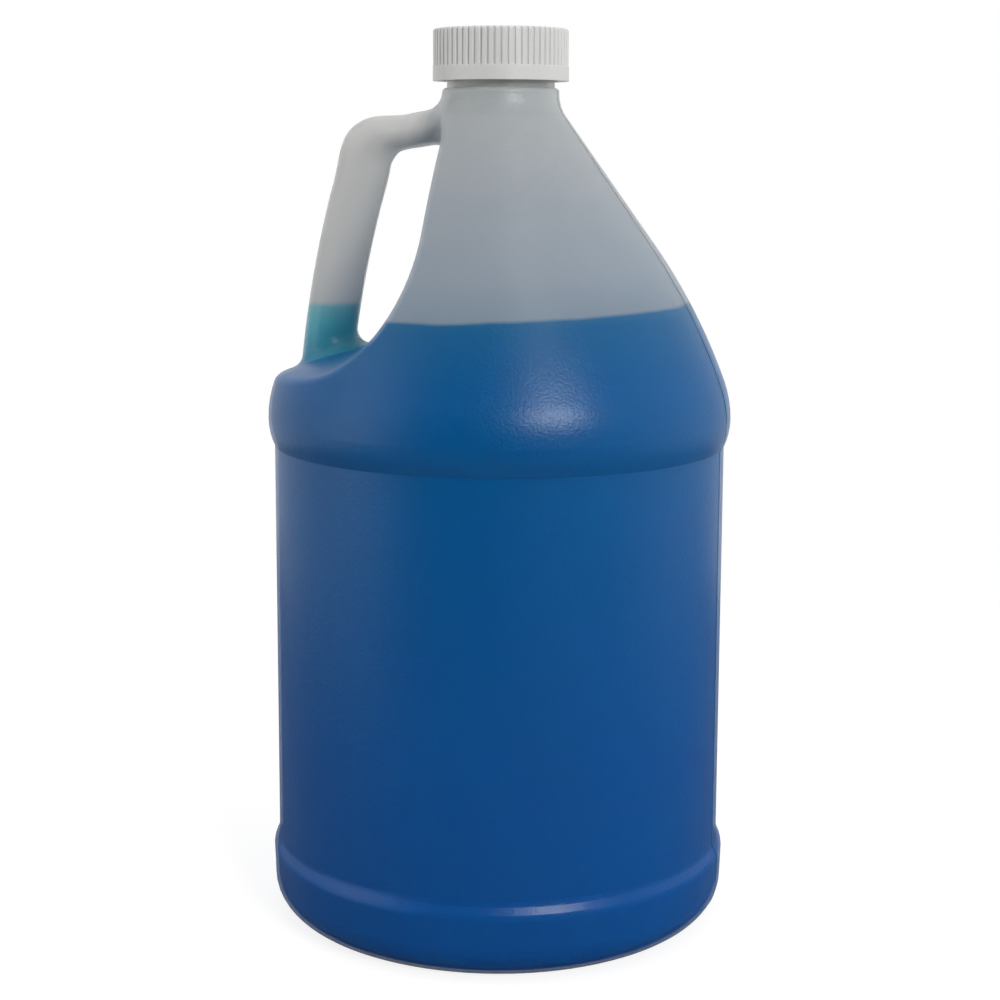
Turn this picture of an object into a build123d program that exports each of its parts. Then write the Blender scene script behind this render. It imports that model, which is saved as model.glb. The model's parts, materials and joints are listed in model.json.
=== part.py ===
from build123d import *
import os
from math import cos, radians, sin, sqrt, tan

# One-gallon blow-moulded jug with a hollow side handle, a ribbed screw cap, its foam liner and
# a fill of liquid. Lengths in mm, angles in degrees. Z is the jug's axis, the jug stands on
# z = 0, and the handle lies in the XZ parting plane on the -X side.

# Jug body, from the ground up. The heights build on each other, and the radii on panel_r.
wall = 1.0
panel_r = 76.9
bumper_rise = 1.9
bumper_draft = 0.8
standing_flat = 4.0
heel_round = 12.0
pushup_run = 5.0
pushup_height = 6.5
pushup_round = 3.0
bumper_height = 22.6
bumper_step = 3.9
bumper_round = 4.0
panel_height = 136.7
bead_rise = 2.1
bead_round_below = 20.8
bead_round_above = 37.0
bead_turn = 20.5
shoulder_round = 200.0
cone_angle = 35.5
neck_fillet = 12.0
collar_length = 6.15
collar_rise = 1.6
collar_round = 1.4

# Neck finish under the cap
neck_r = 18.1
neck_wall = 2.3
neck_height = 16.3
lip_round = 0.5
thread_depth = 1.2

# Hand recess cut across the shoulder, given on the parting plane
recess_bite = 5.5
recess_drop = 10.5
recess_lean = 3.2
recess_top_rise = 12.0
recess_floor_rise = 32.3
ledge_edge_rise = 12.8
recess_top_round = 11.0
recess_round = 46.0
recess_crown = 6.5
recess_crown_reach = 62.0
recess_edge_round = 4.0

# Hollow handle: an arm that droops a little, a full elbow and a bowed grip
arm_root_x = 2.0
arm_drop = 9.3
arm_length = 34.0
arm_droop = 9.5
elbow_round = 17.0
elbow_turn = 63.0
elbow_bulge = 3.0
grip_foot_inset = 14.7
grip_foot_rise = 5.7
arm_thickness = 11.6
grip_thickness = 17.6
arm_width = 19.6
grip_width = 21.0
arm_end_share = 0.25
grip_start_share = 0.42
handle_stations = 24
arm_root_fillet = 8.0
grip_root_fillet = 5.0

# Liquid, just clear of the inside of the wall
fill_rise = 37.0
fill_gap = 0.2

# Ribbed cap and its liner
liner_thickness = 1.2
seal_gap = 0.05
thread_clearance = 0.25
skirt_gap = 2.3
cap_wall = 3.3
cap_top_thickness = 1.8
cap_top_round = 0.8
cap_band_height = 4.8
rib_inset = 0.15
rib_count = 64
rib_depth = 0.6
groove_width = 1.0
groove_floor_share = 0.5

overrun = 5.0
standing = (Align.CENTER, Align.CENTER, Align.MIN)

# Radii of the body and neck
bumper_r = panel_r + bumper_rise
bumper_foot_r = bumper_r - bumper_draft
standing_ring_r = bumper_foot_r - heel_round - standing_flat
pushup_r = standing_ring_r - pushup_run
bead_r = panel_r + bead_rise
collar_r = neck_r + collar_rise
bore_r = neck_r - neck_wall
cap_bore_r = neck_r + thread_depth + thread_clearance
cap_r = cap_bore_r + cap_wall

# Heights, up to the top of the cap
panel_bottom = bumper_height + bumper_step
panel_middle = panel_bottom + panel_height / 2
panel_top = panel_bottom + panel_height
bead_z = panel_top + sqrt(2 * bead_round_below * bead_rise - bead_rise**2)
turn = radians(bead_turn)
lean = radians(cone_angle)
cone_r = bead_r - bead_round_above * (1 - cos(turn)) - shoulder_round * (cos(turn) - cos(lean))
cone_z = bead_z + bead_round_above * sin(turn) + shoulder_round * (sin(lean) - sin(turn))
collar_height = cone_z + (cone_r - collar_r) / tan(lean) + collar_length
finish_top = collar_height + neck_height
liner_bottom = finish_top + seal_gap
cap_ceiling = liner_bottom + liner_thickness + seal_gap
cap_top = cap_ceiling + cap_top_thickness
cap_bottom = collar_height + skirt_gap
cap_height = cap_top - cap_bottom
fill_level = bead_z + fill_rise

# Corners of the hand recess and ends of the handle on the parting plane
recess_wall_x = collar_r - recess_bite
recess_top = collar_height - recess_drop
recess_floor = bead_z + recess_floor_rise
recess_foot_x = recess_wall_x + (recess_top - recess_floor) * tan(radians(recess_lean))
ledge_edge = bead_z + ledge_edge_rise
arm_root = (-arm_root_x, collar_height - arm_drop)
grip_foot = (grip_foot_inset - bead_r, bead_z + grip_foot_rise)


def moved_in(points, inset):
    """Points of the line parallel to an open outline, at a distance inset on its left."""
    outline = [Vector(*point) for point in points]
    sides = [(end - start).normalized() for start, end in zip(outline, outline[1:])]
    normals = [Vector(-side.Y, side.X) for side in sides]
    moved = [outline[0] + normals[0] * inset]
    for corner, before, after in zip(outline[1:-1], normals, normals[1:]):
        moved.append(corner + (before + after) * (inset / (1 + before.dot(after))))
    moved.append(outline[-1] + normals[-1] * inset)
    return moved


def body(inset, neck_outline, neck_rounds):
    """The turned body, moved in from the outside by inset, with neck_outline above its cone."""
    foot = FilletPolyline(
        moved_in(
            [
                (0, pushup_height),
                (pushup_r, pushup_height),
                (standing_ring_r, 0),
                (bumper_foot_r, 0),
                (bumper_r, bumper_height),
                (panel_r, panel_bottom),
                (panel_r, panel_middle),
            ],
            inset,
        ),
        radius=[
            pushup_round + inset,
            pushup_round - inset,
            heel_round - inset,
            bumper_round - inset,
            bumper_round + inset,
        ],
    )
    bead_drop = sqrt(2 * (bead_round_below - inset) * bead_rise - bead_rise**2)
    bead_foot = Vector(panel_r - inset, bead_z - bead_drop)
    bead_top = Vector(bead_r - inset, bead_z)
    panel_end = Line(foot @ 1, bead_foot)
    below = TangentArc(bead_top, bead_foot, tangent=(0, -1))
    above = JernArc(bead_top, (0, 1), bead_round_above - inset, bead_turn)
    shoulder = JernArc(above @ 1, above % 1, shoulder_round - inset, cone_angle - bead_turn)
    cone_foot = shoulder @ 1
    cone_top_r = neck_outline[0][0]
    cone_top = cone_foot.Y + (cone_foot.X - cone_top_r) / tan(lean)
    neck = FilletPolyline(
        [(cone_foot.X, cone_foot.Y), (cone_top_r, cone_top)] + neck_outline,
        radius=[neck_fillet + inset] + neck_rounds,
    )
    axis = Line(neck @ 1, foot @ 0)
    section = make_face(foot.edges() + [panel_end, below, above, shoulder] + neck.edges() + [axis])
    return revolve(Plane.XZ * section, Axis.Z)


def recess_face(grow):
    """Outline of the hand recess on a plane along the parting plane, widened by grow."""
    reach = bead_r + overrun
    ledge_slope = (recess_floor - ledge_edge) / (bead_r - recess_foot_x)
    ledge_end = ledge_edge - overrun * ledge_slope
    top_end = recess_top + (reach - recess_wall_x) * tan(radians(recess_top_rise))
    edge = FilletPolyline(
        moved_in(
            [
                (-reach, ledge_end),
                (-recess_foot_x, recess_floor),
                (-recess_wall_x, recess_top),
                (-reach, top_end),
            ],
            -grow,
        ),
        radius=[recess_round + grow, recess_top_round + grow],
    )
    return make_face(edge.edges() + [Line(edge @ 1, edge @ 0)])


def recess(inset):
    """Cutter for the hand recess: crowned across the parting plane, open to the -X side."""
    depth = bead_r + overrun
    crown = recess_crown * (depth / recess_crown_reach) ** 2
    middle = recess_face(inset)
    side = recess_face(inset + crown)
    return loft([Plane.XZ.offset(depth) * side, Plane.XZ * middle, Plane.XZ.offset(-depth) * side])


def handle(inset):
    """Solid handle of oval sections along the arm, the elbow and the bowed grip."""
    arm = PolarLine(arm_root, arm_length, 180 + arm_droop)
    elbow = JernArc(arm @ 1, arm % 1, elbow_round, elbow_turn)
    grip = TangentArc(elbow @ 1, grip_foot, tangent=elbow % 1)
    path = Plane.XZ * Wire([arm, elbow, grip])
    ovals = []
    for station in range(handle_stations):
        along = station / (handle_stations - 1)
        blend = (along - arm_end_share) / (grip_start_share - arm_end_share)
        blend = min(max(blend, 0), 1)
        blend = blend * blend * (3 - 2 * blend)
        thickness = arm_thickness + (grip_thickness - arm_thickness) * blend
        width = arm_width + (grip_width - arm_width) * blend
        bulge = elbow_bulge * 4 * blend * (1 - blend)
        across = Plane(origin=path @ along, x_dir=(0, 1, 0), z_dir=path % along)
        oval = Ellipse(width / 2 - inset, (thickness + bulge) / 2 - inset)
        ovals.append(across * Pos(0, -bulge / 2) * oval)
    return loft(ovals)


def jug_form(inset, neck_outline, neck_rounds):
    """The whole jug as one solid, moved in from the outside by inset."""
    turned = body(inset, neck_outline, neck_rounds)
    cutter = recess(inset)
    hollowed = turned - cutter
    hollowed = fillet(new_edges(turned, cutter, combined=hollowed), recess_edge_round - inset)
    grip = handle(inset)
    whole = hollowed + grip
    roots = new_edges(hollowed, grip, combined=whole)
    arm_root = roots.filter_by(lambda edge: edge.center().Z > recess_floor)
    whole = fillet(arm_root, arm_root_fillet + inset)
    roots = new_edges(hollowed, grip, combined=whole)
    grip_root = roots.filter_by(lambda edge: edge.center().Z < recess_floor)
    return fillet(grip_root, grip_root_fillet + inset)


def jug_shell():
    """One blow-moulded shell: body, hollow handle and neck finish with a single wall."""
    finish = [
        (collar_r, collar_height),
        (neck_r, collar_height),
        (neck_r, finish_top),
        (0, finish_top),
    ]
    outside = jug_form(0, finish, [collar_round, 0, lip_round])
    return outside - cavity(wall, finish_top + overrun)


def cavity(inset, mouth_height):
    """Inside of the jug, open upwards through the bore of the neck."""
    bore = [(bore_r - inset + wall, mouth_height), (0, mouth_height)]
    return jug_form(inset, bore, [0])


def liquid():
    """The fill: the inside of the jug up to the fill level, in the body and in the handle."""
    inside = cavity(wall + fill_gap, finish_top)
    reach = bead_r + overrun
    below = Box(2 * reach, 2 * reach, fill_level, align=standing)
    return inside & below


def screw_cap():
    """Cap with a ribbed skirt above a plain band, open below."""
    rib_r = cap_r - rib_inset
    band = Cylinder(cap_r, cap_band_height, align=standing)
    skirt = Cylinder(rib_r, cap_height, align=standing)
    skirt = fillet(skirt.edges().sort_by(Axis.Z)[-1], cap_top_round)
    groove = make_face(
        Polyline(
            (rib_r - rib_depth, -groove_width * groove_floor_share / 2),
            (rib_r + rib_depth, -groove_width * (1 - groove_floor_share / 2)),
            (rib_r + rib_depth, groove_width * (1 - groove_floor_share / 2)),
            (rib_r - rib_depth, groove_width * groove_floor_share / 2),
            close=True,
        )
    )
    grooves = Sketch() + [place * groove for place in PolarLocations(0, rib_count)]
    skirt -= extrude(Pos(0, 0, cap_band_height) * grooves, cap_height)
    bore = Cylinder(cap_bore_r, cap_ceiling - cap_bottom, align=standing)
    return Pos(0, 0, cap_bottom) * (band + skirt - bore)


def cap_liner():
    """Foam disc between the cap's ceiling and the rim of the neck."""
    disc = Cylinder(cap_bore_r - thread_clearance, liner_thickness, align=standing)
    return Pos(0, 0, liner_bottom) * disc


os.makedirs("parts", exist_ok=True)
export_step(jug_shell(), "parts/jug_shell.step")
export_step(liquid(), "parts/liquid.step")
export_step(screw_cap(), "parts/screw_cap.step")
export_step(cap_liner(), "parts/cap_liner.step")
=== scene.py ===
import json
from math import cos, pi, radians, sin

import bmesh
import bpy
from mathutils import Euler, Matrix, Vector


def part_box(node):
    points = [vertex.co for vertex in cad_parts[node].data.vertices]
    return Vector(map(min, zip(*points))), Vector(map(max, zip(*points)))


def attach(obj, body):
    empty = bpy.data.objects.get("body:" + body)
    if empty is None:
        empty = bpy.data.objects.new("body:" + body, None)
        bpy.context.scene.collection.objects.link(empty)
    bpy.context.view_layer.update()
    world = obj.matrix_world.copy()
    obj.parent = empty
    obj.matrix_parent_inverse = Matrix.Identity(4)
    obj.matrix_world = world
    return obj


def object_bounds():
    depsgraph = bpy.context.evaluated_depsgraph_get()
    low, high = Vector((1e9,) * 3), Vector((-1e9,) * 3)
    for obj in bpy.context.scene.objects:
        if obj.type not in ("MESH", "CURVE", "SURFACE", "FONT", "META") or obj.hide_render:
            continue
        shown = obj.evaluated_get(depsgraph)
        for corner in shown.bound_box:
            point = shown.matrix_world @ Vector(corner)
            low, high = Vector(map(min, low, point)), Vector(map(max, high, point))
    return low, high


# A one-gallon blow-moulded jug with a hollow handle, part filled with blue liquid, and its ribbed
# screw cap. Metres, Z up, the handle on the -X side of the parting plane y = 0.
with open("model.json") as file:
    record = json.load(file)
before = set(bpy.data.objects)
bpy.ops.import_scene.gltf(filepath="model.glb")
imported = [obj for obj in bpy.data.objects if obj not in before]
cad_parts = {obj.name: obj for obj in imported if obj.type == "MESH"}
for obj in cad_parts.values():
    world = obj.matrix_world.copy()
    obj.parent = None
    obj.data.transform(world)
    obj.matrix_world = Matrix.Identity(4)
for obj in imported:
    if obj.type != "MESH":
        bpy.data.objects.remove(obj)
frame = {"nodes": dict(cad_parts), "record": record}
cad_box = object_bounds()
mm = 0.001

# Jug shell
# One extrusion blow-moulded shell of natural high-density polyethylene, about 1 mm thick: body, hollow
# handle and neck finish in one. The CAD solid has its true form, so it stays and gets its material.
shell = frame["nodes"]["jug_shell"]
fill_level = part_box("liquid")[1].z


def srgb(code):
    """Linear RGBA of an sRGB hex colour."""
    channels = [int(code[i : i + 2], 16) / 255 for i in (1, 3, 5)]
    return [c / 12.92 if c <= 0.04045 else ((c + 0.055) / 1.055) ** 2.4 for c in channels] + [1]


def add_node(tree, kind, sockets=(), **settings):
    """Adds a node, sets its settings, and sets or links the sockets that are given."""
    node = tree.nodes.new(kind)
    for name, value in settings.items():
        setattr(node, name, value)
    for name, value in dict(sockets).items():
        if isinstance(value, bpy.types.NodeSocket):
            tree.links.new(value, node.inputs[name])
        else:
            node.inputs[name].default_value = value
    return node


def new_material(name):
    """An empty node material, its tree and its output node."""
    material = bpy.data.materials.new(name)
    material.use_nodes = True
    material.node_tree.nodes.clear()
    return material, material.node_tree, add_node(material.node_tree, "ShaderNodeOutputMaterial")


# Natural HDPE, blown against a blasted mould: milky and see-through enough that the wall takes the
# liquid's blue wherever it is wetted, and grey where only air is behind it. The thin foot of the handle
# lets more light through, so it is painted teal, and the rest of the handle is painted lighter than the
# body for the same light. The thick neck finish is whiter, partly for its thicker wall and partly as
# painted light that stands in for light shining through under the cap. The blasted mould and the
# cooling skin leave a soft sheen with an orange-peel ripple, drawn coarser than it is.
natural_hdpe, tree, output = new_material("natural_hdpe")

# Colours by height in millimetres. The wetted line wavers, and climbs a little to the right. Below it
# the blue is painted lighter towards the top, for light that falls into the liquid from above, and
# above it the grey is painted bluer close to the liquid, for light that comes up from it.
wet_top = fill_level / mm
collar_top = 283
body_colours = [
    (0, "#0062b8"),
    (60, "#0064ba"),
    (150, "#006eba"),
    (190, "#006bb0"),
    (wet_top - 3, "#1270ab"),
    (wet_top, "#2474a5"),
    (wet_top + 0.4, "#99aabb"),
    (222, "#a5b3c1"),
    (245, "#b2bbc4"),
    (275, "#c8ced0"),
    (collar_top, "#d0d5d6"),
    # Painted light, in part: the neck finish is whiter for its thicker wall and for light shining
    # through under the cap.
    (collar_top + 0.5, "#f0f2ec"),
    (300, "#f0f2ec"),
]
# Painted light: the handle is lighter than the body, teal at its foot and near white above, for the
# light its thin walls let through.
handle_colours = [
    (0, "#006bb6"),
    (186, "#1886b6"),
    (203, "#66d0e6"),
    (wet_top, "#8ce0ec"),
    (wet_top + 0.4, "#dee1e0"),
    (225, "#e8e9e7"),
    (275, "#f4f4f0"),
]
wet_slope = 0.045
wave_length = 14 * mm
wave_height = 0.9 * mm
coords = add_node(tree, "ShaderNodeTexCoord")
place = coords.outputs["Object"]
axes = add_node(tree, "ShaderNodeSeparateXYZ", {"Vector": place})
wave = add_node(tree, "ShaderNodeTexNoise", {"Vector": place, "Scale": 1 / wave_length, "Detail": 1})
rightward = add_node(tree, "ShaderNodeMath", {0: axes.outputs["X"], 1: 0}, operation="MAXIMUM")
level = add_node(
    tree,
    "ShaderNodeMath",
    {0: rightward.outputs[0], 1: -wet_slope, 2: axes.outputs["Z"]},
    operation="MULTIPLY_ADD",
)
height = add_node(
    tree,
    "ShaderNodeMath",
    {0: wave.outputs["Fac"], 1: wave_height, 2: level.outputs[0]},
    operation="MULTIPLY_ADD",
)
shades = []
for colours in (body_colours, handle_colours):
    top = colours[-1][0] * mm
    share = add_node(
        tree,
        "ShaderNodeMapRange",
        {"Value": height.outputs[0], "From Min": wave_height / 2, "From Max": top + wave_height / 2},
    )
    ramp = add_node(tree, "ShaderNodeValToRGB", {"Fac": share.outputs[0]})
    stops = ramp.color_ramp.elements
    while len(stops) < len(colours):
        stops.new(0)
    for stop, (stop_height, colour) in zip(stops, colours):
        stop.position = stop_height * mm / top
        stop.color = srgb(colour)
    shades.append(ramp.outputs["Color"])

# The handle's own colours start beyond the leaning wall of the hand recess, above the ledge and
# close to the parting plane.
recess_lean = 0.275
recess_edge, handle_edge = -97 * mm, -104 * mm
handle_half, ledge_half = 12 * mm, 17 * mm
ledge_z, foot_z = 182 * mm, 192 * mm
off_recess = add_node(
    tree,
    "ShaderNodeMath",
    {0: axes.outputs["Z"], 1: -recess_lean, 2: axes.outputs["X"]},
    operation="MULTIPLY_ADD",
)
beyond_recess = add_node(
    tree,
    "ShaderNodeMapRange",
    {"Value": off_recess.outputs[0], "From Min": recess_edge, "From Max": handle_edge},
)
above_ledge = add_node(
    tree, "ShaderNodeMapRange", {"Value": axes.outputs["Z"], "From Min": ledge_z, "From Max": foot_z}
)
aside = add_node(tree, "ShaderNodeMath", {0: axes.outputs["Y"]}, operation="ABSOLUTE")
near_plane = add_node(
    tree,
    "ShaderNodeMapRange",
    {"Value": aside.outputs[0], "From Min": ledge_half, "From Max": handle_half},
)
in_handle = 1
for bound in (beyond_recess, above_ledge, near_plane):
    in_handle = add_node(
        tree, "ShaderNodeMath", {0: in_handle, 1: bound.outputs[0]}, operation="MULTIPLY"
    ).outputs[0]
shade = add_node(
    tree,
    "ShaderNodeMix",
    {"Factor": in_handle, 6: shades[0], 7: shades[1]},
    data_type="RGBA",
)

# Cloudiness and slow dents of the blown wall, and its orange peel.
dent_size = 45 * mm
peel_size = 0.9 * mm
dents = add_node(tree, "ShaderNodeTexNoise", {"Vector": place, "Scale": 1 / dent_size, "Detail": 3})
cloud = add_node(
    tree,
    "ShaderNodeMapRange",
    {"Value": dents.outputs["Fac"], "To Min": 0.94, "To Max": 1.06},
)
clouded = add_node(
    tree,
    "ShaderNodeHueSaturation",
    {"Color": shade.outputs[2], "Value": cloud.outputs[0]},
)
peel = add_node(
    tree, "ShaderNodeTexNoise", {"Vector": place, "Scale": 1 / peel_size, "Detail": 2, "Roughness": 0.6}
)
gloss = add_node(
    tree, "ShaderNodeMapRange", {"Value": peel.outputs["Fac"], "To Min": 0.27, "To Max": 0.36}
)
ripple = add_node(
    tree, "ShaderNodeBump", {"Height": peel.outputs["Fac"], "Strength": 1, "Distance": 0.11 * mm}
)
swell = add_node(
    tree,
    "ShaderNodeBump",
    {"Height": dents.outputs["Fac"], "Strength": 0.1, "Distance": 2 * mm, "Normal": ripple.outputs[0]},
)
surface = add_node(
    tree,
    "ShaderNodeBsdfPrincipled",
    {
        "Base Color": clouded.outputs["Color"],
        "Roughness": gloss.outputs[0],
        "Normal": swell.outputs[0],
        "IOR": 1.54,
        "Specular IOR Level": 0.35,
        "Alpha": 0.7,
        "Subsurface Weight": 1,
        "Subsurface Radius": (1, 1, 1),
        "Subsurface Scale": 6 * mm,
    },
)
tree.links.new(surface.outputs["BSDF"], output.inputs["Surface"])
shell.data.materials.clear()
shell.data.materials.append(natural_hdpe)

# Parting line
# The two halves of the blow mould meet in the plane y = 0 and leave a fine raised line there, up both
# sides, round the handle and across the push-up of the base, where the tube was pinched off.
seam_width = 0.6 * mm
seam_height = 0.12 * mm
seam_foot = 1 * mm
seam_stop = 3 * mm
seam_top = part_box("screw_cap")[0].z - seam_stop
weld = 0.001 * mm


def new_piece(name, shape, material, body):
    """A finished mesh piece that rides on a body and takes the given material."""
    mesh = bpy.data.meshes.new(name)
    shape.to_mesh(mesh)
    shape.free()
    piece = bpy.data.objects.new(name, mesh)
    bpy.context.scene.collection.objects.link(piece)
    mesh.materials.append(material)
    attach(piece, body)


# The shell's outlines in the parting plane, from the eye of the handle to the outside.
seam = bmesh.new()
seam.from_mesh(shell.data)
bmesh.ops.remove_doubles(seam, verts=seam.verts, dist=weld)
everything = seam.verts[:] + seam.edges[:] + seam.faces[:]
bmesh.ops.bisect_plane(
    seam, geom=everything, dist=weld, plane_no=(0, 1, 0), clear_inner=True, clear_outer=True
)
bmesh.ops.delete(seam, geom=[v for v in seam.verts if v.co.z > seam_top], context="VERTS")
outlines = []
waiting = set(seam.verts)
while waiting:
    outline = [waiting.pop()]
    for vert in outline:
        beside = {edge.other_vert(vert) for edge in vert.link_edges} & waiting
        waiting -= beside
        outline += beside
    outlines.append(outline)
outlines.sort(key=lambda outline: max(v.co.z for v in outline) - min(v.co.z for v in outline))
eye, *inner_walls, outside = outlines
bmesh.ops.delete(seam, geom=[v for outline in inner_walls for v in outline], context="VERTS")

# Both outer ones become ridges, cut off above the ground and kept within the jug's width.
for outline, side in ((outside, 1), (eye, -1)):
    edges = list({edge for vert in outline for edge in vert.link_edges})
    bmesh.ops.translate(seam, verts=outline, vec=(0, -seam_width / 2, 0))
    strip = bmesh.ops.extrude_edge_only(seam, edges=edges)["geom"]
    far_side = [g for g in strip if isinstance(g, bmesh.types.BMVert)]
    bmesh.ops.translate(seam, verts=far_side, vec=(0, seam_width, 0))
    faces = [g for g in strip if isinstance(g, bmesh.types.BMFace)]
    bmesh.ops.recalc_face_normals(seam, faces=faces)
    bmesh.ops.solidify(seam, geom=faces, thickness=-side * seam_height)
bmesh.ops.recalc_face_normals(seam, faces=seam.faces)
everything = seam.verts[:] + seam.edges[:] + seam.faces[:]
cut = bmesh.ops.bisect_plane(
    seam,
    geom=everything,
    dist=weld,
    plane_co=(0, 0, seam_foot),
    plane_no=(0, 0, 1),
    clear_inner=True,
)["geom_cut"]
bmesh.ops.holes_fill(seam, edges=[g for g in cut if isinstance(g, bmesh.types.BMEdge)])
for vert in seam.verts:
    vert.co.x = min(max(vert.co.x, cad_box[0].x), cad_box[1].x)
new_piece("parting_line", seam, natural_hdpe, "jug")

# Neck thread
# One right-hand thread of tapered section, moulded on the neck, that runs out into it at both ends.
# Its pitch is the rise of the cap in one turn.
thread_depth = 1.2 * mm
thread_drop = 9.9 * mm
thread_bed = 0.1 * mm
thread_turns = 1.75
thread_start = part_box("jug_shell")[1].z - thread_drop
neck_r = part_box("cap_liner")[1].x - thread_depth
pitch = frame["record"]["behaviour"]["couplings"][0]["ratio"] * 2 * pi


def thread(root_r, crest_r, start):
    """A helical ridge on the Z axis that fades out at both ends, from the height start upwards."""
    steps = 64
    root_share, crest_share, fade_share, end_share = 0.52, 0.2, 0.12, 0.05
    ridge = bmesh.new()
    section = (
        (root_r, -root_share),
        (crest_r, -crest_share),
        (crest_r, crest_share),
        (root_r, root_share),
    )
    corners = [ridge.verts.new((r, 0, start + share * pitch / 2)) for r, share in section]
    ridge.faces.new(corners)
    bmesh.ops.spin(
        ridge,
        geom=ridge.verts[:] + ridge.edges[:] + ridge.faces[:],
        axis=(0, 0, 1),
        dvec=(0, 0, pitch / steps),
        angle=thread_turns * 2 * pi,
        steps=int(thread_turns * steps),
    )
    for vert in ridge.verts:
        along = (vert.co.z - start) / (thread_turns * pitch)
        fade = min(max(min(along, 1 - along) / fade_share, end_share), 1)
        across = vert.co.xy.length
        vert.co.xy *= (root_r + (across - root_r) * fade) / across
    bmesh.ops.recalc_face_normals(ridge, faces=ridge.faces)
    return ridge


neck_thread = thread(neck_r - thread_bed, neck_r + thread_depth, thread_start)
new_piece("neck_thread", neck_thread, natural_hdpe, "jug")

# Liquid
# Clear water-thin cleaner, dyed blue, poured in to the cone of the jug. The CAD solid has its form.
liquid = frame["nodes"]["liquid"]

# Blue dyed water, so strong in colour that it looks solid: through the milky wall only its blue shows.
# It is painted deeper towards the bottom and lighter towards the top, painted shade for light that
# falls in from above.
blue_liquid, tree, output = new_material("blue_dyed_liquid")
coords = add_node(tree, "ShaderNodeTexCoord")
axes = add_node(tree, "ShaderNodeSeparateXYZ", {"Vector": coords.outputs["Object"]})
depth = add_node(
    tree, "ShaderNodeMapRange", {"Value": axes.outputs["Z"], "From Min": 0, "From Max": fill_level}
)
ramp = add_node(tree, "ShaderNodeValToRGB", {"Fac": depth.outputs[0]})
ramp.color_ramp.elements[0].color = srgb("#00509a")
ramp.color_ramp.elements[1].color = srgb("#0c6cb0")
surface = add_node(
    tree,
    "ShaderNodeBsdfPrincipled",
    {
        "Base Color": ramp.outputs["Color"],
        "Roughness": 0.15,
        "IOR": 1.333,
        "Specular IOR Level": 0.2,
    },
)
tree.links.new(surface.outputs["BSDF"], output.inputs["Surface"])
liquid.data.materials.clear()
liquid.data.materials.append(blue_liquid)

# Cap liner
# A disc punched from a sheet of white closed-cell polyethylene foam. It lies under the cap's top and
# seals the rim of the neck.
liner = frame["nodes"]["cap_liner"]

# Polyethylene foam: dull white, with small closed cells in its skin.
foam, tree, output = new_material("white_polyethylene_foam")
cell_size = 0.5 * mm
coords = add_node(tree, "ShaderNodeTexCoord")
cells = add_node(
    tree, "ShaderNodeTexVoronoi", {"Vector": coords.outputs["Object"], "Scale": 1 / cell_size}
)
pores = add_node(
    tree,
    "ShaderNodeBump",
    {"Height": cells.outputs["Distance"], "Strength": 0.4, "Distance": 0.1 * mm},
)
tone = add_node(tree, "ShaderNodeValToRGB", {"Fac": cells.outputs["Distance"]})
tone.color_ramp.elements[0].color = srgb("#d8d8d2")
tone.color_ramp.elements[1].color = srgb("#eeeeea")
surface = add_node(
    tree,
    "ShaderNodeBsdfPrincipled",
    {"Base Color": tone.outputs["Color"], "Roughness": 0.75, "Normal": pores.outputs[0], "IOR": 1.5},
)
tree.links.new(surface.outputs["BSDF"], output.inputs["Surface"])
liner.data.materials.clear()
liner.data.materials.append(foam)

# Screw cap
# One injection moulding of white polypropylene, with fine grip ribs above a plain band. It screws onto
# the neck and presses the liner on its rim.
cap = frame["nodes"]["screw_cap"]

# White polypropylene: a satin skin with a faint mould grain, drawn coarser than it is, that lets a
# little light into the grooves.
white_pp, tree, output = new_material("white_polypropylene")
grain_size = 0.35 * mm
coords = add_node(tree, "ShaderNodeTexCoord")
grain = add_node(
    tree,
    "ShaderNodeTexNoise",
    {"Vector": coords.outputs["Object"], "Scale": 1 / grain_size, "Detail": 2},
)
tone = add_node(tree, "ShaderNodeValToRGB", {"Fac": grain.outputs["Fac"]})
tone.color_ramp.elements[0].color = srgb("#dadad8")
tone.color_ramp.elements[1].color = srgb("#e4e4e2")
bump = add_node(
    tree,
    "ShaderNodeBump",
    {"Height": grain.outputs["Fac"], "Strength": 0.15, "Distance": 0.05 * mm},
)
surface = add_node(
    tree,
    "ShaderNodeBsdfPrincipled",
    {
        "Base Color": tone.outputs["Color"],
        "Roughness": 0.4,
        "Normal": bump.outputs[0],
        "IOR": 1.49,
        "Subsurface Weight": 0.5,
        "Subsurface Radius": (1, 1, 1),
        "Subsurface Scale": 2 * mm,
    },
)
tree.links.new(surface.outputs["BSDF"], output.inputs["Surface"])
cap.data.materials.clear()
cap.data.materials.append(white_pp)

# Cap thread
# The mating thread, moulded in one with the cap inside its skirt. It runs half a pitch below the
# neck's, with a small gap.
thread_gap = 0.25 * mm
cap_bore_r = neck_r + thread_depth + thread_gap
cap_thread = thread(cap_bore_r + thread_bed, neck_r + thread_gap, thread_start - pitch / 2)
new_piece("cap_thread", cap_thread, white_pp, "cap")

# Studio
# A white floor that the jug stands on. The camera sees it lit up to white, and it keeps the shadow.
floor_half = 0.5
stand = bmesh.new()
bmesh.ops.create_grid(stand, x_segments=1, y_segments=1, size=floor_half)
floor_mesh = bpy.data.meshes.new("studio_floor")
stand.to_mesh(floor_mesh)
stand.free()
floor = bpy.data.objects.new("studio_floor", floor_mesh)
bpy.context.scene.collection.objects.link(floor)
white_floor, tree, output = new_material("white_floor")
path = add_node(tree, "ShaderNodeLightPath")
matte = add_node(tree, "ShaderNodeBsdfDiffuse", {"Color": srgb("#8c8c8c")})
lift = add_node(
    tree,
    "ShaderNodeEmission",
    {"Color": srgb("#ececec"), "Strength": path.outputs["Is Camera Ray"]},
)
both = add_node(tree, "ShaderNodeAddShader", {0: matte.outputs[0], 1: lift.outputs[0]})
tree.links.new(both.outputs[0], output.inputs["Surface"])
floor.data.materials.append(white_floor)

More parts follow.
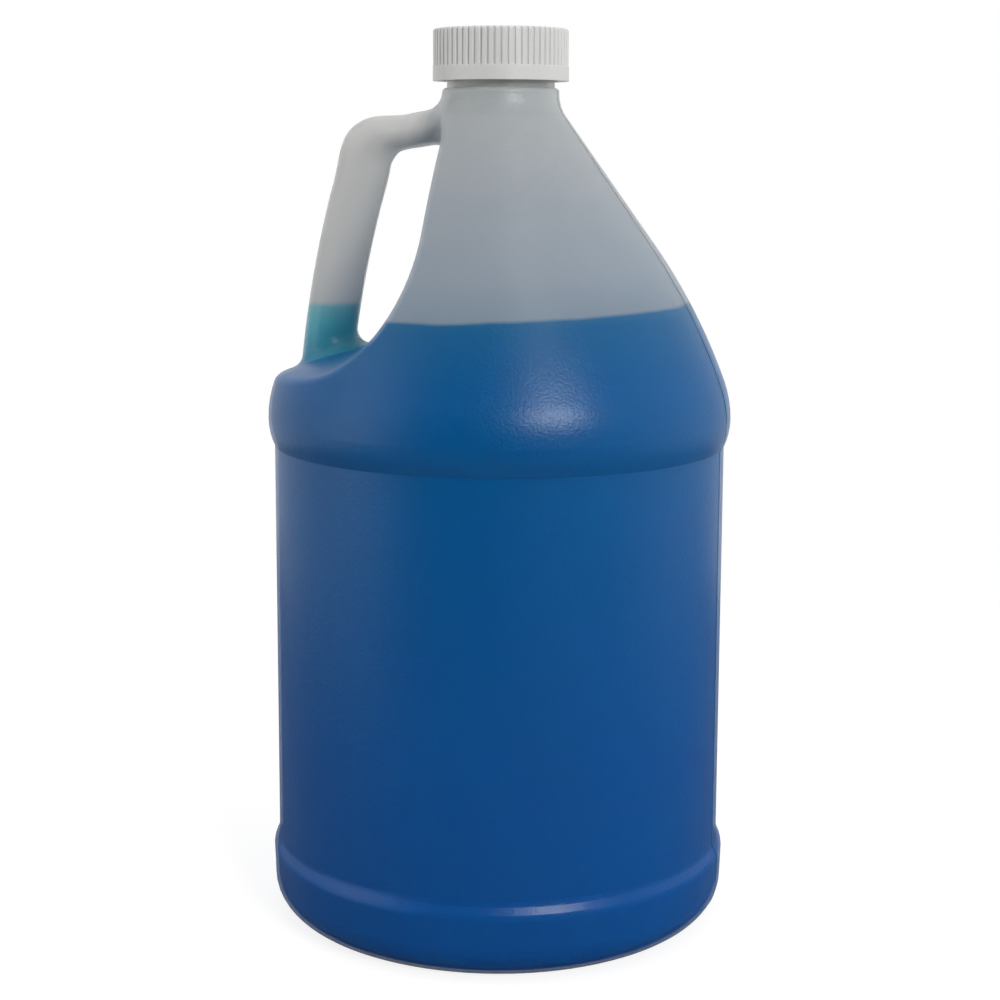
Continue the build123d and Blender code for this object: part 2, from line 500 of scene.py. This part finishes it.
# A white surround, bright at the sides and behind, and dark on the camera's side, so that the front of
# the wall keeps its colour.
camera_azimuth = radians(17)
surround = bpy.data.worlds.new("white_surround")
bpy.context.scene.world = surround
surround.use_nodes = True
tree = surround.node_tree
tree.nodes.clear()
path = add_node(tree, "ShaderNodeLightPath")
aim = add_node(tree, "ShaderNodeTexCoord")
turn = add_node(
    tree, "ShaderNodeMapping", {"Vector": aim.outputs["Generated"], "Rotation": (0, 0, -camera_azimuth)}
)
depth = add_node(tree, "ShaderNodeSeparateXYZ", {"Vector": turn.outputs[0]})
glow = add_node(
    tree,
    "ShaderNodeMapRange",
    {"Value": depth.outputs["Y"], "From Min": -0.85, "From Max": -0.1, "To Min": 0.03, "To Max": 0.78},
)
soft = add_node(tree, "ShaderNodeBackground", {"Color": srgb("#ffffff"), "Strength": glow.outputs[0]})
white = add_node(tree, "ShaderNodeBackground", {"Color": srgb("#ffffff"), "Strength": 1.0})
sky = add_node(
    tree,
    "ShaderNodeMixShader",
    {0: path.outputs["Is Camera Ray"], 1: soft.outputs[0], 2: white.outputs[0]},
)
add_node(tree, "ShaderNodeOutputWorld", {"Surface": sky.outputs[0]})

# A soft box at the front right, which makes the sheen on the shoulder, a tall dim one above it, and a
# wide weak one at the left. Angles from the camera's direction, in degrees.
lamp_distance = 1.6
middle = (cad_box[0] + cad_box[1]) / 2
for name, turn_degrees, lift_degrees, size, power in (
    ("key_softbox", 27, 23, (0.55, 0.28), 13),
    ("top_softbox", 27, 55, (0.3, 0.8), 2),
    ("left_softbox", -70, 12, (1.0, 1.4), 4),
):
    azimuth = camera_azimuth + radians(turn_degrees)
    elevation = radians(lift_degrees)
    lamp = bpy.data.lights.new(name, "AREA")
    lamp.shape = "RECTANGLE"
    lamp.size, lamp.size_y = size
    lamp.energy = power
    away = Vector((sin(azimuth) * cos(elevation), -cos(azimuth) * cos(elevation), sin(elevation)))
    holder = bpy.data.objects.new(name, lamp)
    bpy.context.scene.collection.objects.link(holder)
    holder.location = middle + away * lamp_distance
    holder.rotation_euler = (-away).to_track_quat("-Z", "Y").to_euler()

# Camera
# Level with the handle's arm, to the right of the parting plane's normal, and looking down a little.
camera_distance = 661.8 * mm
camera_height = 265.2 * mm
camera_pitch = radians(8.49)
camera_roll = radians(-0.23)
lens = bpy.data.cameras.new("camera")
lens.sensor_width = 36
lens.lens = 69.88
lens.shift_x = -0.0006
lens.shift_y = -0.0685
camera = bpy.data.objects.new("camera", lens)
bpy.context.scene.collection.objects.link(camera)
camera.location = (
    camera_distance * sin(camera_azimuth),
    -camera_distance * cos(camera_azimuth),
    camera_height,
)
camera.rotation_euler = Euler((pi / 2 - camera_pitch, camera_roll, camera_azimuth))
bpy.context.scene.camera = camera
bpy.context.scene.view_settings.view_transform = "Standard"
